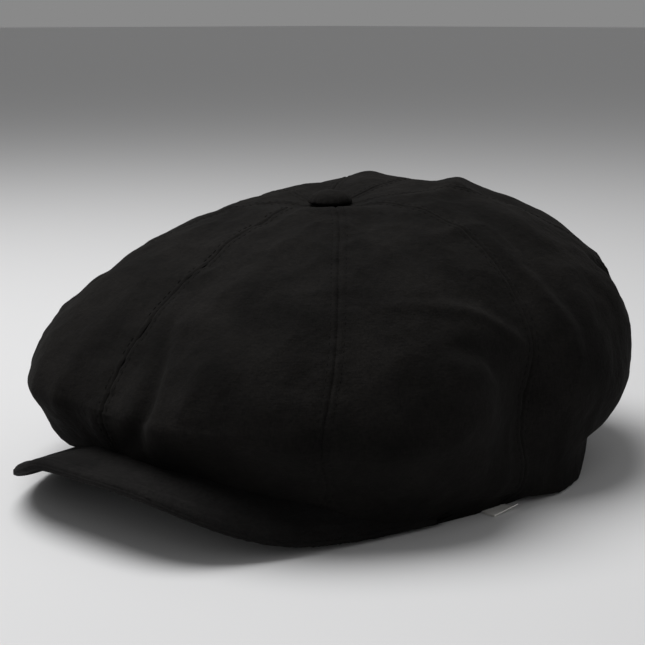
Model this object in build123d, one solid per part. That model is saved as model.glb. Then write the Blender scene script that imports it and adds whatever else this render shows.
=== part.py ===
from build123d import *

import os
from math import atan2, cos, degrees, radians, sin, sqrt

# An eight-panel newsboy cap at rest on a flat surface, in millimetres. +Z is up, the visor points
# to -Y, +X is the wearer's left, and the origin is the centre of the head opening, at the surface.
# Every angle round the cap is measured from the front seam (-Y) towards the wearer's left.

# --- driving dimensions -------------------------------------------------------------------------
PANELS = 8
PANEL_ANGLE = 360 / PANELS

RIM_HALF_LENGTH = 106.0  # outside of the shell at the head opening
RIM_HALF_WIDTH = 91.0
SHELL_CLOTH = 1.2  # washed cotton twill with its seam allowances
LINING_GAP = 0.5
LINING_CLOTH = 0.5
LINING_RIM_OFFSET = 1.0  # the lining stops this far above the rim's edge
BAND_GAP = 0.6
SWEATBAND_CLOTH = 1.4  # folded ribbon over its stiffening
SWEATBAND_HEIGHT = 32.0

RISE_HEIGHT = 19.5  # how far the arched visor lifts the front of the rim off the surface
RISE_START = 42.0  # the rim lies flat behind y = -RISE_START
RISE_POWER = 1.5
RISE_FADE = 46.0  # the lift of the rim has died away this far up the crown

CORNERS = 0.10  # how far the crown stands out between front and side, as a share of the radius
PUFF = 0.03  # how far a panel's middle stands out past its seams, as a share of the radius
SEAM_SPREAD = 1.04
PANEL_STEPS = 6
SEAM_GAP = 0.3  # on each side of a seam, where the cloth turns in

# One row for each level of the crown: front y, front z, back y, back z, half width, fullness.
RIM_ROW = (-RIM_HALF_LENGTH, 0, RIM_HALF_LENGTH, 0, RIM_HALF_WIDTH, 0.0)
CROWN_ROWS = [
    RIM_ROW,
    (-106.3, 8, 108, 8, 94, 0.2),
    (-108, 18, 113, 17, 101, 0.4),
    (-114, 30, 118, 29, 104.5, 0.75),
    (-117, 43, 124, 46, 107, 0.95),
    (-107, 60, 124, 67, 102, 1.0),
    (-88, 77, 110, 88, 86, 0.9),
    (-62, 93, 83, 106, 62, 0.7),
    (-32, 103.5, 44, 112.3, 35, 0.4),
    (-12, 106.6, 12, 107.2, 12, 0.0),
    (-2.8, 107, 2.8, 107, 2.8, 0.0),  # edge of the hole for the button's shank
]
SKIRT_DEPTHS = (10.0, 24.0)  # the crown's loft starts below the rim, where it is trimmed

VISOR_GAP = 2.6  # from the shell to the visor's inner edge, taken up when the visor flexes
VISOR_HALF_WIDTH = 87.5
VISOR_BACK = 42.0  # the visor's ends lie at y = -VISOR_BACK
VISOR_DEPTH = 96.0  # from there to its front edge
VISOR_OUTLINE_POWER = 3.4
VISOR_STEPS = 8
VISOR_CREST_NEAR = 15.2  # height of the arch's crest over the surface, at y = -VISOR_NEAR
VISOR_CREST_RISE = 7.0
VISOR_NEAR = 45.0
VISOR_FAR = 150.0
VISOR_ARCH_DROP = 24.0
VISOR_ARCH_WIDE = 90.0  # half width at which the arch has dropped by VISOR_ARCH_DROP, near
VISOR_ARCH_TAPER = 37.0  # and how much narrower it is at its far end
VISOR_ARCH_POWER = 3
VISOR_SOFTNESS = 3.0  # how gently the arch's sides flatten out onto the surface
COVER_CLOTH = 0.8
BOARD_THICKNESS = 2.4
COVER_EDGE = 1.6  # the covers reach this far past the board, where they are seamed

BUTTON_RADIUS = 8.8
BUTTON_HEIGHT = 4.8
BUTTON_CLOTH = 0.7
BUTTON_METAL = 0.5
BUTTON_SEAT = 107.4  # underside of the button, just over the crown's apex
SHANK_RADIUS = 1.9
SHANK_BORE = 1.2
CLINCH_RADIUS = 7.0
CLINCH_FIT = 0.04

LABEL_ANGLE = 87.0  # where the care label is sewn into the rim seam
LABEL_WIDTH = 14.0
LABEL_REACH = 10.0
LABEL_THICKNESS = 0.4
LABEL_CLEARANCE = 0.35


# --- the rim's rise and the crown's surface -----------------------------------------------------
def rim_rise(y):
    """Height of the rim's lower edge over the surface, where the rim passes y."""
    run = max(0.0, (-y - RISE_START) / (RIM_HALF_LENGTH - RISE_START))
    return RISE_HEIGHT * run**RISE_POWER


def crown_point(row, angle):
    """A point of the shell's outer surface on one level of the crown."""
    front_y, front_z, back_y, back_z, half_width, fullness = row
    plan = radians(angle)
    middle_z, half_length = (front_z + back_z) / 2, (back_y - front_y) / 2
    fade = max(0.0, 1 - middle_z / RISE_FADE)
    # The oval would crowd the seams towards its ends, and this spreads them a little.
    turn = atan2(sin(plan) * SEAM_SPREAD, cos(plan))
    corners = CORNERS * sin(turn * 2) ** 2
    puff = PUFF * (sin(plan * PANELS / 2) ** 2 - 0.5)
    swell = 1 + fullness * (corners + puff)
    across, along = sin(turn) * swell, -cos(turn) * swell
    z = middle_z + along * (back_z - front_z) / 2
    y = (front_y + back_y) / 2 + along * half_length
    return Vector(across * half_width, y, z + fade * rim_rise(y * RIM_HALF_LENGTH / half_length))


def inward(level, angle):
    """The unit normal into the cap, horizontal at the rim and vertical at the apex."""
    last = len(CROWN_ROWS) - 1
    if level >= last - 1:
        return Vector(0, 0, -1)
    below, above = CROWN_ROWS[max(level - 1, 0)], CROWN_ROWS[level + 1]
    up_the_crown = crown_point(above, angle) - crown_point(below, angle)
    if level == 0:
        up_the_crown = Vector(0, 0, 1)
    row = CROWN_ROWS[level]
    round_the_crown = crown_point(row, angle + 4) - crown_point(row, angle - 4)
    return up_the_crown.cross(round_the_crown).normalized()


def layer_section(level, angles, inset, thickness):
    """One level of a cloth layer: its outer line and its inner line, over a run of angles."""
    row = CROWN_ROWS[level]
    lines = []
    for depth in (inset, inset + thickness):
        lines.append([crown_point(row, a) + inward(level, a) * depth for a in angles])
    if level == len(CROWN_ROWS) - 1:
        # The panel's tip is cut straight across, so that its end is flat.
        steps = len(angles) - 1
        lines = [[w[0] + (w[-1] - w[0]) * (i / steps) for i in range(steps + 1)] for w in lines]
    return lines


def strip_wire(outer, inner):
    """A closed outline: along the outer line, across the cloth and back along the inner line."""
    back = list(reversed(inner))
    return Wire(
        [
            Edge.make_spline(outer),
            Edge.make_line(outer[-1], back[0]),
            Edge.make_spline(back),
            Edge.make_line(back[-1], outer[0]),
        ]
    )


def panel(index, inset, thickness, rim_offset):
    """One panel of a cloth layer, from the rim to the shank's hole at the apex."""
    sections = []
    for level, row in enumerate(CROWN_ROWS):
        margin = degrees(SEAM_GAP / row[4])
        span = PANEL_ANGLE - 2 * margin
        start = index * PANEL_ANGLE + margin
        angles = [start + span * i / PANEL_STEPS for i in range(PANEL_STEPS + 1)]
        sections.append(layer_section(level, angles, inset, thickness))
    for depth in SKIRT_DEPTHS:
        sections.insert(0, [[Vector(p.X, p.Y, -depth) for p in line] for line in sections[0]])
    strip = Solid.make_loft([strip_wire(outer, inner) for outer, inner in sections])
    return strip & rise_profile(rim_offset, 200)


def rise_profile(offset, top):
    """A prism across the cap that holds everything from offset over the rim's edge up to top."""
    reach = 200.0
    front = RIM_HALF_LENGTH * 1.3
    steps = 8
    ys = [-RISE_START - (front - RISE_START) * i / steps for i in range(steps + 1)]
    line = [(y, rim_rise(y) + offset) for y in ys]
    with_ends = Wire(
        [
            Edge.make_line((0, reach, offset), (0, -RISE_START, offset)),
            Edge.make_spline(
                [Vector(0, y, z) for y, z in line],
                tangents=[Vector(0, -1, 0), Vector(0, -1, 0.7)],
            ),
            Edge.make_line((0, line[-1][0], line[-1][1]), (0, line[-1][0], top)),
            Edge.make_line((0, line[-1][0], top), (0, reach, top)),
            Edge.make_line((0, reach, top), (0, reach, offset)),
        ]
    )
    return extrude(Face(with_ends), amount=reach, dir=(1, 0, 0), both=True)


PANEL_NAMES = (
    "front_left",
    "side_front_left",
    "side_back_left",
    "back_left",
    "back_right",
    "side_back_right",
    "side_front_right",
    "front_right",
)


def panels(prefix, inset, thickness, rim_offset):
    """One layer of the crown: its eight panels, by name."""
    names = enumerate(PANEL_NAMES)
    return {f"{prefix}_{name}": panel(i, inset, thickness, rim_offset) for i, name in names}


# --- sweatband ----------------------------------------------------------------------------------
SWEATBAND_INSET = SHELL_CLOTH + LINING_GAP + LINING_CLOTH + BAND_GAP


def elliptic_tube(inset, thickness, height):
    outside = Ellipse(RIM_HALF_WIDTH - inset, RIM_HALF_LENGTH - inset)
    inside = Ellipse(RIM_HALF_WIDTH - inset - thickness, RIM_HALF_LENGTH - inset - thickness)
    return extrude(outside - inside, amount=height)


def sweatband():
    """A strip of even height that follows the rim, and stands up inside the cap."""
    tube = elliptic_tube(SWEATBAND_INSET, SWEATBAND_CLOTH, RISE_HEIGHT + SWEATBAND_HEIGHT + 5)
    return (tube & rise_profile(0, 200)) - rise_profile(SWEATBAND_HEIGHT, 300)


# --- visor --------------------------------------------------------------------------------------
def visor_height(x, y):
    """Height of the visor's underside over the surface: an arch whose sides flatten onto it."""
    along = (-y - VISOR_NEAR) / (VISOR_FAR - VISOR_NEAR)
    crest = VISOR_CREST_NEAR + VISOR_CREST_RISE * along
    half_width = VISOR_ARCH_WIDE - VISOR_ARCH_TAPER * along
    height = crest - VISOR_ARCH_DROP * (abs(x) / half_width) ** VISOR_ARCH_POWER
    return (height + sqrt(height**2 + VISOR_SOFTNESS**2)) / 2


def visor_slab(low, high):
    """The arched sheet between two heights over the visor's underside, wider than the visor."""
    xs = [-98 + 14 * i for i in range(15)]
    ys = [-160 + 12 * i for i in range(12)]
    points = [[Vector(x, y, visor_height(x, y) + low) for y in ys] for x in xs]
    sheet = Face.make_surface_from_array_of_points(points, tol=0.02)
    return extrude(sheet, amount=high - low, dir=(0, 0, 1))


def visor_outline(edge_inset, rim_gap):
    """The crescent between the rim and the visor's outer edge, as a tall prism."""
    half_width = VISOR_HALF_WIDTH - edge_inset
    depth = VISOR_DEPTH - 2 * edge_inset
    points = []
    for step in range(-VISOR_STEPS, VISOR_STEPS + 1):
        x = half_width * sin(radians(90 * step / VISOR_STEPS))
        reach = 1 - (abs(x) / half_width) ** VISOR_OUTLINE_POWER
        points.append(Vector(x, -VISOR_BACK - edge_inset - depth * reach, 0))
    edges = [Edge.make_spline(points), Edge.make_line(points[-1], points[0])]
    opening = Ellipse(RIM_HALF_WIDTH + rim_gap, RIM_HALF_LENGTH + rim_gap)
    return extrude(Face(Wire(edges)) - opening, amount=60, dir=(0, 0, 1))


def visor():
    """Board, top cover and under cover. The covers meet at half height round the board's edge."""
    full = COVER_CLOTH * 2 + BOARD_THICKNESS
    middle = full / 2
    board_low, board_high = COVER_CLOTH, COVER_CLOTH + BOARD_THICKNESS
    board = visor_outline(COVER_EDGE, VISOR_GAP + COVER_EDGE) & visor_slab(board_low, board_high)
    outline = visor_outline(0, VISOR_GAP)
    top = (outline & visor_slab(middle, full)) - board
    under = (outline & visor_slab(0, middle)) - board
    return {"visor_board": board, "visor_top_cover": top, "visor_under_cover": under}


# --- covered button on the apex -----------------------------------------------------------------
def button_cap(radius, height, z):
    """A domed disc: a spherical cap over a short rounded side."""
    side = height * 0.35
    rise = height - side
    ball = (radius**2 + rise**2) / (2 * rise)
    disc = Pos(0, 0, z + height / 2) * Cylinder(radius, height)
    return disc & (Pos(0, 0, z + height - ball) * Sphere(ball))


def button():
    """Cloth over a metal shell, snapped on a back plate whose shank is clinched inside the cap."""
    seat = BUTTON_SEAT
    outer = button_cap(BUTTON_RADIUS, BUTTON_HEIGHT, seat)
    shell_outer = button_cap(BUTTON_RADIUS - BUTTON_CLOTH, BUTTON_HEIGHT - BUTTON_CLOTH, seat)
    inside = button_cap(
        BUTTON_RADIUS - BUTTON_CLOTH - BUTTON_METAL,
        BUTTON_HEIGHT - BUTTON_CLOTH - BUTTON_METAL,
        seat,
    )
    plate_radius = BUTTON_RADIUS - BUTTON_CLOTH - BUTTON_METAL - 0.1
    clinch_z = CROWN_ROWS[-1][1] - SHELL_CLOTH - LINING_GAP - LINING_CLOTH - 0.4
    clinch_thickness, flange_thickness = 0.6, 0.5
    shank_low = clinch_z - clinch_thickness - flange_thickness
    shank_length = seat + BUTTON_METAL - shank_low
    shank = Pos(0, 0, shank_low + shank_length / 2) * Cylinder(SHANK_RADIUS, shank_length)
    flange = Pos(0, 0, shank_low + flange_thickness / 2) * Cylinder(
        SHANK_RADIUS + 1.2, flange_thickness
    )
    bore = Pos(0, 0, shank_low + 2) * Cylinder(SHANK_BORE, 6)
    plate = Pos(0, 0, seat + BUTTON_METAL / 2) * Cylinder(plate_radius, BUTTON_METAL)
    washer = Pos(0, 0, clinch_z - clinch_thickness / 2) * (
        Cylinder(CLINCH_RADIUS, clinch_thickness)
        - Cylinder(SHANK_RADIUS + CLINCH_FIT, clinch_thickness)
    )
    return {
        "button_cover": outer - shell_outer,
        "button_shell": shell_outer - inside,
        "button_back_plate": plate + shank + flange - bore,
        "button_clinch_washer": washer,
    }


# --- care label ---------------------------------------------------------------------------------
def care_label():
    """A blank ribbon tab, sewn into the rim seam and lying under the shell's edge."""
    turn = radians(LABEL_ANGLE)
    inner = RIM_HALF_WIDTH - SHELL_CLOTH - 0.4
    tab = Box(LABEL_REACH, LABEL_WIDTH, LABEL_THICKNESS, align=(Align.MIN, Align.CENTER, Align.MIN))
    return Rot(0, 0, LABEL_ANGLE - 90) * Pos(inner, 0, 0) * tab


def label_notch():
    """The room that the shell's edge leaves for the label under it."""
    room = LABEL_CLEARANCE
    tab = Box(
        LABEL_REACH + 2 * room,
        LABEL_WIDTH + 2 * room,
        2 * (LABEL_THICKNESS + room),
    )
    middle = RIM_HALF_WIDTH - SHELL_CLOTH - 0.4 + LABEL_REACH / 2
    return Rot(0, 0, LABEL_ANGLE - 90) * Pos(middle, 0, 0) * tab


def main():
    lining_inset = SHELL_CLOTH + LINING_GAP
    nodes = {}
    nodes.update(panels("crown_panel", 0, SHELL_CLOTH, 0))
    for side in ("side_front_left", "side_back_left"):
        nodes[f"crown_panel_{side}"] -= label_notch()
    nodes.update(panels("lining", lining_inset, LINING_CLOTH, LINING_RIM_OFFSET))
    nodes["sweatband"] = sweatband()
    nodes.update(visor())
    nodes.update(button())
    nodes["care_label"] = care_label()
    os.makedirs("parts", exist_ok=True)
    for name, shape in nodes.items():
        export_step(shape, f"parts/{name}.step")


main()
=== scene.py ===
import math

import bpy
import numpy as np
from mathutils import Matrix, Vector


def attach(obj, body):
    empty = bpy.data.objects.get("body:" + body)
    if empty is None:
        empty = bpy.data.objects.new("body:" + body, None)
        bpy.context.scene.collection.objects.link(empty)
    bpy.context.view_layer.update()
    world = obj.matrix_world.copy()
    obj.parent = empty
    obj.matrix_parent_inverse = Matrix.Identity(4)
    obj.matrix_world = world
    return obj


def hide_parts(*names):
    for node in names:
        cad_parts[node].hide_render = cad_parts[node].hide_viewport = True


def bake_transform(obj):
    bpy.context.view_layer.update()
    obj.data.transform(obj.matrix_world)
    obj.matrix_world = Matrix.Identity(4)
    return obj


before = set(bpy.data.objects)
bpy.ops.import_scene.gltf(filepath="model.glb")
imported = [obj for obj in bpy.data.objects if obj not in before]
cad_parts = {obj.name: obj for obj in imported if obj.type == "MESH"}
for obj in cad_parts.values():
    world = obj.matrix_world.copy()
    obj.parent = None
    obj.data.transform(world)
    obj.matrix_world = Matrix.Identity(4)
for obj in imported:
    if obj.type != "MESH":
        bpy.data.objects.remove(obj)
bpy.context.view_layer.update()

MM = 0.001

# The cap's shape in millimetres, in the shared frame. The visor points to -Y, +X is the wearer's
# left, and angles round the cap are in degrees from the front seam towards the wearer's left.
PANELS = 8
PANEL_NAMES = (
    "front_left",
    "side_front_left",
    "side_back_left",
    "back_left",
    "back_right",
    "side_back_right",
    "side_front_right",
    "front_right",
)
PANEL_ANGLE = 360 / PANELS
RIM = np.array([91.0, 106.0])  # half width and half length of the head opening
RISE_HEIGHT, RISE_START, RISE_POWER = 19.5, 42.0, 1.5  # how the visor lifts the front of the rim
RISE_FADE = 46.0  # the lift has died away this far up the crown
SEAM_SPREAD = 1.04  # the oval would crowd the seams towards its ends, and this spreads them
CORNERS = 0.10  # how far the crown stands out between front and side, as a share of the radius
PUFF = 0.035  # how far a panel's middle stands out past its seams, as a share of the radius
# One row for each level of the crown: front y, front z, back y, back z, half width, fullness.
CROWN_ROWS = np.array(
    [
        (-106, 0, 106, 0, 91, 0.0),
        (-106.3, 8, 108, 8, 94, 0.2),
        (-108, 18, 113, 17, 101, 0.4),
        (-114, 30, 118, 29, 104.5, 0.75),
        (-117, 43, 124, 46, 107, 0.95),
        (-107, 60, 124, 67, 102, 1.0),
        (-88, 77, 110, 88, 86, 0.9),
        (-62, 93, 83, 106, 62, 0.7),
        (-32, 103.5, 44, 112.3, 35, 0.4),
        (-12, 106.6, 12, 107.2, 12, 0.0),
        (-2.8, 107, 2.8, 107, 2.8, 0.0),
    ]
)
TOP_LEVEL = len(CROWN_ROWS) - 1
ROW_KNOTS = np.arange(len(CROWN_ROWS), dtype=float)

HEM_DEPTH = 1.4  # how far inside the shell its hem lies
LINING_DEPTH = 2.3  # how far inside the shell the lining lies
STITCH_OFFSET = 2.4  # from a seam to the row of stitches on either side of it
STITCH_PITCH, STITCH_LENGTH, STITCH_RADIUS = 2.9, 2.1, 0.14
STITCH_SIDES = 6


# --- numbers ------------------------------------------------------------------------------------
def natural_spline(knots, values, at):
    """The natural cubic spline through values at knots, for each column of values."""
    knots, values = np.asarray(knots, float), np.asarray(values, float)
    n = len(knots)
    step = np.diff(knots)
    matrix, right = np.eye(n), np.zeros_like(values)
    for i in range(1, n - 1):
        matrix[i, i - 1 : i + 2] = step[i - 1], 2 * (step[i - 1] + step[i]), step[i]
        slope_after = (values[i + 1] - values[i]) / step[i]
        slope_before = (values[i] - values[i - 1]) / step[i - 1]
        right[i] = 6 * (slope_after - slope_before)
    bend = np.linalg.solve(matrix, right)
    at = np.asarray(at, float)
    k = np.clip(np.searchsorted(knots, at, side="right") - 1, 0, n - 2)
    width = step[k][..., None]
    left, after = (at - knots[k])[..., None], (knots[k + 1] - at)[..., None]
    return (
        bend[k] * after**3 / (6 * width)
        + bend[k + 1] * left**3 / (6 * width)
        + (values[k] / width - bend[k] * width / 6) * after
        + (values[k + 1] / width - bend[k + 1] * width / 6) * left
    )


def value_noise(points, size, seed):
    """Smooth noise from -1 to 1 over points in millimetres, with cells of that size."""
    lattice = np.random.RandomState(seed).uniform(-1, 1, (32, 32, 32))
    scaled = np.asarray(points) / np.asarray(size) + 1000.0
    cell = np.floor(scaled).astype(int)
    part = scaled - cell
    part = part * part * part * (part * (part * 6 - 15) + 10)
    total = np.zeros(len(points))
    for corner in range(8):
        bits = np.array([corner & 1, corner >> 1 & 1, corner >> 2 & 1])
        weight = np.prod(np.where(bits, part, 1 - part), axis=1)
        index = (cell + bits) % 32
        total += weight * lattice[index[:, 0], index[:, 1], index[:, 2]]
    return total


# --- the crown's surface ------------------------------------------------------------------------
def rim_rise(y):
    """Height of the rim's lower edge over the surface, where the rim passes y."""
    run = np.maximum(0.0, (-y - RISE_START) / (RIM[1] - RISE_START))
    return RISE_HEIGHT * run**RISE_POWER


def crown_base(angle, level):
    """Points of the smooth crown, at angles in degrees and levels that count CROWN_ROWS."""
    row = natural_spline(ROW_KNOTS, CROWN_ROWS, np.clip(level, 0, TOP_LEVEL))
    front_y, front_z, back_y, back_z, half_width, fullness = np.moveaxis(row, -1, 0)
    plan = np.radians(angle)
    turn = np.arctan2(np.sin(plan) * SEAM_SPREAD, np.cos(plan))
    corners = CORNERS * np.sin(2 * turn) ** 2
    puff = PUFF * (np.sin(plan * PANELS / 2) ** 2 - 0.5)
    swell = 1 + np.clip(fullness, 0, 1) * (corners + puff)
    across, along = np.sin(turn) * swell, -np.cos(turn) * swell
    middle_z, half_length = (front_z + back_z) / 2, (back_y - front_y) / 2
    fade = np.maximum(0.0, 1 - middle_z / RISE_FADE)
    y = (front_y + back_y) / 2 + along * half_length
    z = middle_z + along * (back_z - front_z) / 2
    z = z + fade * rim_rise(y * RIM[1] / half_length)
    return np.stack([across * half_width, y, z], -1)


def crown_normal(angle, level):
    """The outward unit normal of the smooth crown."""
    round_it = crown_base(angle + 0.5, level) - crown_base(angle - 0.5, level)
    low, high = np.maximum(level - 0.04, 0), np.minimum(level + 0.04, TOP_LEVEL)
    up_it = crown_base(angle, high) - crown_base(angle, low)
    normal = np.cross(round_it, up_it)
    return normal / np.maximum(np.linalg.norm(normal, axis=-1, keepdims=True), 1e-9)


# Folds and dents of the cloth. Each has its line of (angle, level) points, how far it moves the
# cloth out (or in, below zero) and its half width, in millimetres.
FOLDS = [
    # the long crease beside the front seam, and the soft ridges next to it
    ([(7, 5.7), (10, 5.1), (12, 4.4), (11, 3.6), (8, 2.9), (5, 2.3)], -3.4, 3.8),
    ([(15, 3.6), (15, 2.9), (13, 2.3)], 1.2, 6.0),
    ([(-4, 4.6), (-3, 3.4), (-5, 2.6)], 1.6, 6.0),
    # dent beside the seam between the two left panels, and the hollow below it
    ([(40, 5.1), (41, 4.8)], -1.6, 4.0),
    ([(27, 4.2), (33, 3.6)], -2.5, 14.0),
    # the side's fold: a thin ridge that runs down to the side seam over a valley
    ([(55, 6.1), (66, 5.95), (78, 5.6), (90, 4.8)], 1.7, 3.4),
    ([(58, 5.5), (68, 5.3), (78, 4.9), (86, 4.3)], -2.0, 6.0),
    ([(76, 5.0), (80, 4.2), (84, 3.6)], -2.0, 9.0),
    ([(88, 4.6), (90, 3.8), (90, 3.0)], -6.0, 19.0),
    # crest and hollows over the back left panel
    ([(96, 7.0), (97, 6.0), (100, 5.0), (101, 4.2)], 2.2, 4.6),
    ([(112, 5.6), (116, 4.4)], -2.5, 11.0),
    ([(128, 5.9), (136, 5.0)], -4.0, 5.5),
    # folds across the flat of the top
    ([(105, 8.6), (118, 8.0), (158, 7.6), (172, 7.1)], 2.6, 6.0),
    ([(142, 7.3), (150, 6.9)], -4.5, 10.0),
    ([(-38, 8.1), (-5, 8.2), (30, 8.3), (62, 8.2), (80, 8.3)], 1.6, 6.5),
    ([(-20, 8.8), (20, 8.8), (60, 8.8)], -1.2, 6.0),
    # the dimple that the button pulls into the top
    ([(-120, 9.1), (-60, 9.1), (0, 9.1), (60, 9.1), (120, 9.1)], -1.1, 5.0),
    # a fold on the far side of the top
    ([(200, 8.4), (215, 7.6), (222, 6.9)], 2.4, 8.0),
    # the overhang across the front
    ([(-80, 2.0), (-58, 1.7), (-38, 1.7), (-20, 1.9)], 8.0, 15.0),
    ([(-24, 1.9), (0, 1.8), (24, 1.7), (44, 1.5)], 5.0, 13.0),
    # the cloth that covers the visor's ends
    ([(50, 0.8), (60, 0.6), (70, 0.5)], 4.0, 7.0),
    ([(-50, 0.8), (-60, 0.6), (-70, 0.5)], 4.0, 7.0),
    # the roll low at the side and back
    ([(72, 1.6), (88, 1.5), (100, 1.4)], 3.5, 8.0),
    ([(94, 0.7), (110, 0.7), (128, 0.7)], 10.0, 7.5),
    ([(112, 1.9), (130, 1.9), (150, 1.8)], -2.5, 4.5),
    # the far sides, seen from behind and from the right
    ([(200, 5.0), (212, 4.2), (220, 3.2)], -4.0, 9.0),
    ([(204, 5.6), (218, 4.8), (228, 3.9)], 2.6, 6.0),
    ([(252, 5.5), (262, 4.6), (268, 3.4)], -5.5, 11.0),
    ([(246, 6.0), (258, 5.4), (272, 4.6)], 2.8, 6.0),
    ([(286, 5.4), (294, 4.2), (296, 3.0)], -4.0, 8.0),
    ([(308, 6.2), (322, 5.4)], -2.5, 10.0),
    ([(168, 4.6), (180, 3.8), (186, 3.0)], -4.0, 10.0),
    ([(225, 0.8), (245, 0.7), (262, 0.7)], 6.0, 7.5),
]


def fold_offset(points):
    """How far out the folds move each point of the smooth crown. Each one weakens towards its ends."""
    total = np.zeros(len(points))
    for line, height, half_width in FOLDS:
        line = np.array(line, float)
        samples = 14 * (len(line) - 1) + 1
        along = np.linspace(0, len(line) - 1, samples)
        path = natural_spline(np.arange(len(line)), line, along)
        centres = crown_base(path[:, 0], path[:, 1])
        taper = np.sin(np.pi * (np.arange(samples) + 1) / (samples + 1)) ** 0.6
        strongest = np.zeros(len(points))
        for centre, strength in zip(centres, taper):
            distance = np.sum((points - centre) ** 2, axis=1)
            strongest = np.maximum(strongest, strength * np.exp(-distance / half_width**2))
        total += height * strongest
    return total


def crown_surface(angle, level, lift=0.0):
    """Points of the finished cloth, raised by lift along the smooth crown's normal."""
    angle, level = np.broadcast_arrays(np.asarray(angle, float), np.asarray(level, float))
    shape = angle.shape
    angle, level = angle.ravel(), level.ravel()
    base, normal = crown_base(angle, level), crown_normal(angle, level)
    radius = np.hypot(base[:, 0], base[:, 1])
    to_seam = np.abs((angle + PANEL_ANGLE / 2) % PANEL_ANGLE - PANEL_ANGLE / 2)
    seam_distance = np.radians(to_seam) * radius
    # The wrinkles calm down towards the rim and the button.
    calm = np.clip(level / 1.2, 0, 1) * np.clip((TOP_LEVEL - 0.6 - level) / 1.5, 0, 1)
    out = fold_offset(base) * np.clip(level / 0.8 + 0.25, 0, 1)
    out += 1.5 * calm * value_noise(base, (34, 34, 30), 3)
    out += 0.8 * calm * value_noise(base, (15, 15, 17), 5)
    ridged = 1 - 2 * np.abs(value_noise(base, (17, 17, 24), 8))
    out += 0.55 * calm * ridged
    out += 0.3 * calm * value_noise(base, (6.5, 6.5, 7.5), 11)
    out += 0.10 * value_noise(base, (2.6, 2.6, 2.8), 13)
    # The seams pull the cloth in, and their stitches pucker it.
    out -= 0.42 * np.exp(-((seam_distance / 0.5) ** 2))
    out += 0.12 * np.exp(-(((seam_distance - 1.3) / 0.9) ** 2))
    out -= 0.07 * np.exp(-(((seam_distance - STITCH_OFFSET) / 0.5) ** 2))
    pucker = value_noise(np.stack([level * 26, angle * 0.05, angle * 0.02], 1), 3.2, 17)
    out += 0.4 * calm * pucker * np.exp(-seam_distance / 7.0)
    points = base + normal * (out + lift)[:, None]
    # No cloth goes below the surface that the cap lies on.
    points[:, 2] = np.maximum(points[:, 2], np.minimum(base[:, 2], 0.4))
    return points.reshape(shape + (3,))


# --- meshes -------------------------------------------------------------------------------------
def mesh_object(name, points, faces, material):
    """A smooth-shaded mesh, from points in millimetres."""
    mesh = bpy.data.meshes.new(name)
    mesh.from_pydata((np.asarray(points) * MM).tolist(), [], faces)
    mesh.validate()
    mesh.polygons.foreach_set("use_smooth", [True] * len(mesh.polygons))
    mesh.materials.append(material)
    made = bpy.data.objects.new(name, mesh)
    bpy.context.scene.collection.objects.link(made)
    return made


def grid_faces(rows, columns, wrap=False, start=0):
    """Quads of a grid of points that is stored row by row."""
    faces = []
    for r in range(rows - 1):
        for c in range(columns if wrap else columns - 1):
            a, b = start + r * columns + c, start + r * columns + (c + 1) % columns
            faces.append((a, b, b + columns, a + columns))
    return faces


def grid_object(name, grid, material, wrap=False):
    """A mesh over a grid of points; wrap joins the last column to the first."""
    rows, columns = grid.shape[:2]
    return mesh_object(name, grid.reshape(-1, 3), grid_faces(rows, columns, wrap), material)


# --- materials ----------------------------------------------------------------------------------
def shader_material(name, **sockets):
    """A material and its shader, with each named socket set to one value."""
    material = bpy.data.materials.new(name)
    material.use_nodes = True
    shader = material.node_tree.nodes["Principled BSDF"]
    for socket, value in sockets.items():
        shader.inputs[socket.replace("_", " ")].default_value = value
    return material, shader


def noise_node(material, scale, detail=4.0, stretch=(1, 1, 1)):
    """Noise over the object's own coordinates, each multiplied by its share of stretch."""
    nodes, links = material.node_tree.nodes, material.node_tree.links
    place = nodes.new("ShaderNodeTexCoord")
    mapping = nodes.new("ShaderNodeMapping")
    mapping.inputs["Scale"].default_value = stretch
    noise = nodes.new("ShaderNodeTexNoise")
    noise.inputs["Scale"].default_value = scale
    noise.inputs["Detail"].default_value = detail
    links.new(place.outputs["Object"], mapping.inputs["Vector"])
    links.new(mapping.outputs["Vector"], noise.inputs["Vector"])
    return noise.outputs["Fac"]


def ramp_node(material, factor, stops):
    """A colour for each value of factor, between stops of (position, colour)."""
    nodes, links = material.node_tree.nodes, material.node_tree.links
    ramp = nodes.new("ShaderNodeValToRGB")
    while len(ramp.color_ramp.elements) < len(stops):
        ramp.color_ramp.elements.new(0.5)
    for element, (position, color) in zip(ramp.color_ramp.elements, stops):
        element.position = position
        element.color = (*color, 1)
    links.new(factor, ramp.inputs["Fac"])
    return ramp.outputs["Color"]


def mix_node(material, first, second, factor, blend="MIX"):
    """Mixes two colours. Each of the three inputs is another node's output or a plain value."""
    nodes, links = material.node_tree.nodes, material.node_tree.links
    mix = nodes.new("ShaderNodeMix")
    mix.data_type = "RGBA"
    mix.blend_type = blend
    for socket, value in ((mix.inputs[6], first), (mix.inputs[7], second), (mix.inputs[0], factor)):
        if hasattr(value, "is_linked"):
            links.new(value, socket)
        else:
            socket.default_value = value
    return mix.outputs[2]


def bump_node(material, height, strength, distance, before=None):
    """A bumped normal, on top of an earlier one if that is given."""
    nodes, links = material.node_tree.nodes, material.node_tree.links
    bump = nodes.new("ShaderNodeBump")
    bump.inputs["Strength"].default_value = strength
    bump.inputs["Distance"].default_value = distance
    links.new(height, bump.inputs["Height"])
    if before is not None:
        links.new(before, bump.inputs["Normal"])
    return bump.outputs["Normal"]


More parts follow.
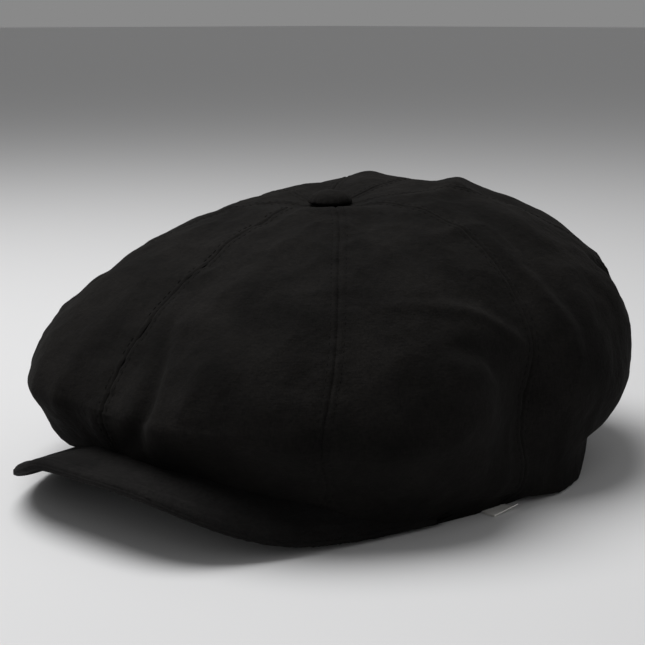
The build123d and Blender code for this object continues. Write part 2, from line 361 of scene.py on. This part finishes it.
def washed_cotton(name, dark, light, sheen):
    """Black washed cotton: soft cloudy fading, a fine slubby weave and a little fuzz."""
    material, shader = shader_material(
        name,
        Roughness=0.92,
        Specular_IOR_Level=0.08,
        Sheen_Weight=sheen,
        Sheen_Roughness=0.55,
        Sheen_Tint=(0.95, 0.9, 0.85, 1),
    )
    links = material.node_tree.links
    clouds = ramp_node(material, noise_node(material, 42, 5), [(0.3, dark), (0.72, light)])
    warp = noise_node(material, 1500, 2, (1, 1, 0.28))
    weft = noise_node(material, 1500, 2, (0.3, 0.3, 1.3))
    threads = mix_node(material, warp, weft, 0.5)
    flecks = ramp_node(
        material, threads, [(0.36, (0.7, 0.7, 0.7)), (0.62, (1.28, 1.26, 1.24))]
    )
    color = mix_node(material, clouds, flecks, 1.0, "MULTIPLY")
    links.new(color, shader.inputs["Base Color"])
    normal = bump_node(material, threads, 0.55, 0.0005)
    normal = bump_node(material, noise_node(material, 240, 5), 0.45, 0.0012, normal)
    links.new(normal, shader.inputs["Normal"])
    return material


cloth = washed_cotton(
    "washed_cotton", (0.0034, 0.0031, 0.0029), (0.0086, 0.0079, 0.0074), sheen=0.008
)
visor_cloth = washed_cotton(
    "visor_cotton", (0.0046, 0.0044, 0.0044), (0.0094, 0.0089, 0.0088), sheen=0.010
)
thread, thread_shader = shader_material("thread", Roughness=0.9, Specular_IOR_Level=0.08)
thread_shader.inputs["Base Color"].default_value = (0.005, 0.0047, 0.0044, 1)


def ribbed(name, color, rough, rib_scale, rib_depth):
    """Woven ribbon or satin: faint ribs and a slightly uneven colour."""
    material, shader = shader_material(name, Roughness=rough, Specular_IOR_Level=0.35)
    links = material.node_tree.links
    tint = ramp_node(
        material,
        noise_node(material, 60, 4),
        [(0.3, tuple(c * 0.8 for c in color)), (0.7, tuple(c * 1.2 for c in color))],
    )
    links.new(tint, shader.inputs["Base Color"])
    ribs = noise_node(material, rib_scale, 2, (1, 1, 0.06))
    links.new(bump_node(material, ribs, 0.5, rib_depth), shader.inputs["Normal"])
    return material


satin = ribbed("lining_satin", (0.021, 0.021, 0.024), 0.42, 900, 0.0002)
ribbon = ribbed("sweatband_ribbon", (0.016, 0.016, 0.017), 0.7, 1300, 0.0006)
label_cloth = ribbed("label_ribbon", (0.80, 0.79, 0.76), 0.75, 1500, 0.0003)


def follow(piece, near_visor):
    """Binds a piece of cloth to the crown; where it meets the visor, it bakes the piece's placement
    into its mesh and binds it to no body.
    """
    if near_visor:
        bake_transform(piece)
    else:
        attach(piece, "crown")


def clustered(count, ends):
    """Values from 0 to 1, closer together near the ends; ends is 0 for even spacing."""
    t = np.linspace(0, 1, count)
    return t - ends * np.sin(2 * np.pi * t) / (2 * np.pi)


PANELS_NEAR_VISOR = (0, 1, 6, 7)
SEAMS_NEAR_VISOR = (0, 1, 2, 6, 7)
SHELL_COLUMNS, SHELL_ROWS = 78, 210
LINING_COLUMNS, LINING_ROWS = 22, 70
LINING_START = 3  # the lining begins this many rows above the rim


def even_levels(count):
    """Levels spaced evenly along the crown's profile from the rim to the apex."""
    samples, angle = 800, 60.0
    fine = np.linspace(0, TOP_LEVEL, samples)
    line = crown_base(np.full(samples, angle), fine)
    length = np.concatenate([[0], np.cumsum(np.linalg.norm(np.diff(line, axis=0), axis=1))])
    return np.interp(np.linspace(0, length[-1], count), length, fine)


def shell_gore(index, name):
    """One panel of the shell, with its hem turned up inside the rim."""
    angles = (index + clustered(SHELL_COLUMNS, 0.6)) * PANEL_ANGLE
    levels = even_levels(SHELL_ROWS)
    grid = crown_surface(angles[None, :], levels[:, None])
    hem = crown_surface(angles, np.zeros(SHELL_COLUMNS), -HEM_DEPTH)
    hem_top = crown_surface(angles, np.full(SHELL_COLUMNS, 0.5), -HEM_DEPTH - 0.2)
    grid = np.concatenate([hem_top[None], hem[None], grid])
    gore = grid_object(f"gore_{name}", grid, cloth)
    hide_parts(f"crown_panel_{name}")
    follow(gore, index in PANELS_NEAR_VISOR)


def lining_gore(index, name):
    """One panel of the lining."""
    angles = (index + np.linspace(0, 1, LINING_COLUMNS)) * PANEL_ANGLE
    levels = even_levels(LINING_ROWS)[LINING_START:]
    grid = crown_surface(angles[None, :], levels[:, None], -LINING_DEPTH)
    lining = grid_object(f"lining_gore_{name}", grid, satin)
    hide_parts(f"lining_{name}")
    follow(lining, index in PANELS_NEAR_VISOR)


for index, name in enumerate(PANEL_NAMES):
    shell_gore(index, name)
    lining_gore(index, name)


def stitches(name, path, normals):
    """A row of thread stitches laid along a path on the cloth."""
    steps = np.linalg.norm(np.diff(path, axis=0), axis=1)
    travelled = np.concatenate([[0], np.cumsum(steps)])
    points, faces = [], []
    for begin in np.arange(1.0, travelled[-1] - STITCH_LENGTH, STITCH_PITCH):
        at = begin + STITCH_LENGTH * np.linspace(0, 1, 5)
        line = np.stack([np.interp(at, travelled, path[:, k]) for k in range(3)], 1)
        up = np.stack([np.interp(at, travelled, normals[:, k]) for k in range(3)], 1)
        up /= np.linalg.norm(up, axis=1, keepdims=True)
        ahead = np.gradient(line, axis=0)
        ahead /= np.linalg.norm(ahead, axis=1, keepdims=True)
        side = np.cross(ahead, up)
        # The thread dives into the cloth at both ends and is thickest in the middle.
        line = line + up * np.array([-0.25, 0.0, 0.04, 0.0, -0.25])[:, None]
        thick = STITCH_RADIUS * np.array([0.5, 0.95, 1.0, 0.95, 0.5])
        first = len(points)
        for centre, s, u, r in zip(line, side, up, thick):
            for k in range(STITCH_SIDES):
                turn = 2 * math.pi * k / STITCH_SIDES
                points.append(centre + r * (s * math.cos(turn) + u * math.sin(turn)))
        faces += grid_faces(5, STITCH_SIDES, True, first)
    return mesh_object(name, np.array(points), faces, thread)


def topstitch(index, side, label):
    """The row of stitches on one side of a seam, from just above the rim to near the button."""
    levels = even_levels(400)
    levels = levels[(levels > 0.25) & (levels < 9.0)]
    seam = np.full(len(levels), index * PANEL_ANGLE)
    radius = np.linalg.norm(crown_base(seam, levels)[:, :2], axis=1)
    beside = seam + side * np.degrees(STITCH_OFFSET / radius)
    path = crown_surface(beside, levels)
    row = stitches(f"topstitch_{index}_{label}", path, crown_normal(beside, levels))
    follow(row, index in SEAMS_NEAR_VISOR)


for index in range(PANELS):
    for side, label in ((-1, "right"), (1, "left")):
        topstitch(index, side, label)


# --- sweatband ----------------------------------------------------------------------------------
def sweatband():
    """The ribbon round the head opening, with a row of stitches near each edge."""
    turn = np.radians(np.linspace(0, 360, 361)[:-1])
    outline = []
    inner, outer = 4.2, 2.9  # how far inside the rim its two faces lie
    height = 32.0
    profile = [(outer, 0.2), (outer, 12), (outer, 24), (outer, height)]
    profile += [(inner, height), (inner + 0.3, 22), (inner + 0.2, 10), (inner, 0.2)]
    profile.append(profile[0])
    for inset, z in profile:
        half = RIM - inset
        x, y = np.sin(turn) * half[0], -np.cos(turn) * half[1]
        outline.append(np.stack([x, y, z + rim_rise(y)], 1))
    grid = np.array(outline)
    waves = value_noise(grid.reshape(-1, 3), (24, 24, 14), 21)
    grid += 0.25 * waves.reshape(grid.shape[:2] + (1,))
    grid[..., 2] = np.maximum(grid[..., 2], 0.05)
    band = grid_object("sweatband_ribbon", grid, ribbon, wrap=True)
    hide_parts("sweatband")
    follow(band, True)
    inset = inner + 0.25
    turn = np.radians(np.linspace(0, 360, 900))
    x, y = np.sin(turn) * (RIM[0] - inset), -np.cos(turn) * (RIM[1] - inset)
    for z, label in ((3.5, "low"), (28.5, "high")):
        path = np.stack([x, y, z + rim_rise(y)], 1)
        inward = np.stack([-x / RIM[0] ** 2, -y / RIM[1] ** 2, 0 * x], 1)
        inward /= np.linalg.norm(inward, axis=1, keepdims=True)
        row = stitches(f"sweatband_stitch_{label}", path, inward)
        follow(row, True)


sweatband()

# --- visor --------------------------------------------------------------------------------------
VISOR_HALF_WIDTH, VISOR_BACK, VISOR_DEPTH, VISOR_THICK = 87.5, 42.0, 95.0, 4.0
VISOR_OUTLINE_POWER = 3.6
VISOR_TURN = math.radians(4.0)  # it lies turned a little towards the wearer's left
VISOR_NEAR, VISOR_LENGTH = 45.0, 105.0  # the arch changes over this length, from y = -VISOR_NEAR
CREST_NEAR, CREST_RISE = 16.6, 6.7
ARCH_DROP, ARCH_WIDE, ARCH_TAPER = 24.0, 92.0, 37.0
ARCH_POWER_LEFT, ARCH_POWER_RIGHT = 4.3, 2.4
ARCH_EXTRA_RIGHT = 3.0  # the arch is this much wider on the wearer's right
ARCH_CHANGE = 30.0  # and changes over from the middle to this far right
ARCH_SOFTNESS = 3.0  # how gently the arch's sides flatten out onto the surface
VISOR_ROUNDING = 1.9  # how far inside the outer edge its rounding begins


def visor_height(x, y):
    """Height of the visor's underside over the surface."""
    along = (-y - VISOR_NEAR) / VISOR_LENGTH
    crest = CREST_NEAR + CREST_RISE * along
    # The wearer's right falls away in an even slope, and the left stays flatter and then turns down.
    right_share = np.clip(-x / ARCH_CHANGE, 0, 1)
    half_width = ARCH_WIDE - ARCH_TAPER * along + ARCH_EXTRA_RIGHT * right_share
    power = ARCH_POWER_LEFT + (ARCH_POWER_RIGHT - ARCH_POWER_LEFT) * right_share
    height = crest - ARCH_DROP * (np.abs(x) / half_width) ** power
    return (height + np.sqrt(height**2 + ARCH_SOFTNESS**2)) / 2


def visor_front(x):
    """Where the visor's outer edge lies, before it is turned."""
    reach = 1 - np.minimum(np.abs(x) / VISOR_HALF_WIDTH, 1) ** VISOR_OUTLINE_POWER
    return -VISOR_BACK - VISOR_DEPTH * reach


def visor_inner(x, gap):
    """Where the visor's inner edge lies; gap is how far outside the rim."""
    half = RIM + gap
    return -half[1] * np.sqrt(np.maximum(0, 1 - (x / half[0]) ** 2))


def edge_distance(x, y):
    """How far each point of the visor lies inside its outer edge."""
    edge_x = np.linspace(-VISOR_HALF_WIDTH, VISOR_HALF_WIDTH, 700)
    edge = np.stack([edge_x, visor_front(edge_x)], 1)
    for side in (-1, 1):
        ends = [(side * VISOR_HALF_WIDTH, -VISOR_BACK + k) for k in range(0, 14)]
        edge = np.concatenate([edge, np.array(ends, float)])
    plan = np.stack([x.ravel(), y.ravel()], 1)
    inside = np.full(len(plan), 1e9)
    batch = 4000
    for start in range(0, len(plan), batch):
        gaps = np.linalg.norm(plan[start : start + batch, None] - edge[None], axis=2)
        inside[start : start + batch] = gaps.min(1)
    return inside.reshape(y.shape)


def visor_grid(upper):
    """One face of the visor, rounded down to half its thickness round the outer edge."""
    columns, rows = 241, 84
    x = (VISOR_HALF_WIDTH + 0.25) * np.sin(np.radians(np.linspace(-90, 90, columns)))
    t = np.linspace(0, 1, rows)[:, None]
    t = 1 - (1 - t) ** 1.6
    near, far = visor_inner(x, -1.0)[None], visor_front(x)[None] - 0.2
    near = np.maximum(near, far + 3.0)
    y = near + (far - near) * t
    x = np.broadcast_to(x[None], y.shape)
    inside = edge_distance(x, y)
    inside[-1] = 0
    roundness = np.clip(inside / VISOR_ROUNDING, 0, 1)
    half = VISOR_THICK / 2 * np.sqrt(1 - (1 - roundness) ** 2)
    points = np.stack([x, y, visor_height(x, y) + VISOR_THICK / 2], -1)
    noise_at = points.reshape(-1, 3) + (0 if upper else 500)
    ripple = 0.22 * value_noise(noise_at, (19, 19, 19), 31)
    ripple += 0.12 * value_noise(noise_at, (7, 7, 7), 33)
    ripple = ripple.reshape(y.shape) * roundness
    # a ridge just inside the edge, and the groove of the stitching behind it
    ripple += 0.25 * np.exp(-(((inside - 3.6) / 1.2) ** 2))
    ripple -= 0.22 * np.exp(-(((inside - 6.2) / 0.9) ** 2))
    points[..., 2] += (half + ripple) * (1 if upper else -1)
    points[-1, :, 2] += -0.2 if upper else 0.2
    points[..., 2] = np.maximum(points[..., 2], 0.0)
    x, y = points[..., 0].copy(), points[..., 1].copy()
    points[..., 0] = x * math.cos(VISOR_TURN) - y * math.sin(VISOR_TURN)
    points[..., 1] = x * math.sin(VISOR_TURN) + y * math.cos(VISOR_TURN)
    return points


for upper, name, node in ((True, "visor_top", "top"), (False, "visor_underside", "under")):
    cover = grid_object(name, visor_grid(upper), visor_cloth)
    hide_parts(f"visor_{node}_cover", "visor_board")
    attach(cover, "visor")


# --- covered button -----------------------------------------------------------------------------
def button():
    """The cloth of the covered button: a low dome with small pleats round its edge."""
    seat, radius, height = 107.0, 8.9, 5.2
    profile = [(0.0, height), (2.5, height - 0.15), (4.4, height - 0.6), (6.4, height - 1.4)]
    profile += [(7.9, height - 2.6), (8.7, height - 3.8), (8.9, 0.6), (8.2, 0.0), (5.3, 0.1)]
    fine = np.linspace(0, len(profile) - 1, 60)
    line = natural_spline(np.arange(len(profile)), np.array(profile), fine)
    turn = np.linspace(0, 2 * np.pi, 145)[:-1]
    across = line[:, 0][:, None] / radius
    pleats = 19
    gather = 0.16 * np.cos(pleats * turn)[None] * np.clip(across - 0.75, 0, 1) * 3
    r = np.maximum(line[:, 0][:, None] + gather, 0.02)
    x, y = r * np.cos(turn), r * np.sin(turn)
    z = seat + line[:, 1][:, None] + 0 * x
    points = np.stack([x, y, z], -1)
    flat = points.reshape(-1, 3)
    points[..., 2] += 0.15 * value_noise(flat, (4, 4, 4), 41).reshape(x.shape)
    cover = grid_object("button_cloth", points, cloth, wrap=True)
    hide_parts("button_cover")
    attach(cover, "crown")


button()


# --- care label ---------------------------------------------------------------------------------
def care_label():
    """A blank ribbon tab folded double. Its free end curls up a little, most at one corner."""
    turn = math.radians(87)
    out = np.array([math.sin(turn), -math.cos(turn)])
    tangent = np.array([math.cos(turn), math.sin(turn)])
    inner, reach, width = 89.4, 8.5, 13.0
    rows, columns = 16, 12
    layers = []
    for lift in (0.12, 0.62):
        for r in range(rows) if lift < 0.5 else reversed(range(rows)):
            along = r / (rows - 1)
            for c in range(columns):
                across = c / (columns - 1) - 0.5
                spot = out * (inner + reach * along) + tangent * width * across
                curl = 4.5 * max(0.0, along - 0.4) ** 2 * max(0.0, 0.6 + across)
                layers.append((spot[0], spot[1], lift + curl))
    faces = grid_faces(2 * rows, columns)
    tab = mesh_object("care_label_ribbon", np.array(layers), faces, label_cloth)
    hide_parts("care_label")
    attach(tab, "label")


care_label()


# --- stage, light and camera --------------------------------------------------------------------
def area_light(name, place, aim, size, power):
    """A soft round light at place, turned towards aim."""
    data = bpy.data.lights.new(name, "AREA")
    data.shape = "DISK"
    data.size = size
    data.energy = power
    lamp = bpy.data.objects.new(name, data)
    lamp.location = place
    lamp.rotation_euler = (Vector(aim) - Vector(place)).to_track_quat("-Z", "Y").to_euler()
    bpy.context.scene.collection.objects.link(lamp)


def studio():
    """A pale floor, a soft light overhead, a weak one in front and a dim even surrounding."""
    material, shader = shader_material("paper", Roughness=0.9, Specular_IOR_Level=0.1)
    shader.inputs["Base Color"].default_value = (0.70, 0.70, 0.705, 1)
    half = 25000.0
    corners = [(-half, -half, 0), (half, -half, 0), (half, half, 0), (-half, half, 0)]
    floor = mesh_object("floor", np.array(corners), [(0, 1, 2, 3)], material)
    area_light("overhead", (-0.34, -0.18, 1.12), (0, 0, 0), 1.0, 13.6)
    area_light("front_fill", (0.9, -1.3, 0.9), (0, 0, 0.03), 1.2, 1.4)
    world = bpy.data.worlds.new("studio")
    world.use_nodes = True
    world.node_tree.nodes["Background"].inputs["Color"].default_value = (1, 1, 1, 1)
    world.node_tree.nodes["Background"].inputs["Strength"].default_value = 0.25
    bpy.context.scene.world = world
    bpy.context.scene.view_settings.view_transform = "Standard"


def camera():
    """Looks at the cap from the wearer's front left and a little above."""
    azimuth, elevation, distance = math.radians(45), math.radians(12.5), 0.6
    target = Vector((0, 0, 0.05))
    away = Vector(
        (
            math.sin(azimuth) * math.cos(elevation),
            -math.cos(azimuth) * math.cos(elevation),
            math.sin(elevation),
        )
    )
    data = bpy.data.cameras.new("camera")
    data.lens, data.sensor_width = 81.0, 36.0
    data.shift_x, data.shift_y = -0.0116, 0.0271
    eye = bpy.data.objects.new("camera", data)
    eye.location = target + away * distance
    eye.rotation_euler = (-away).to_track_quat("-Z", "Y").to_euler()
    bpy.context.scene.collection.objects.link(eye)
    bpy.context.scene.camera = eye


studio()
camera()
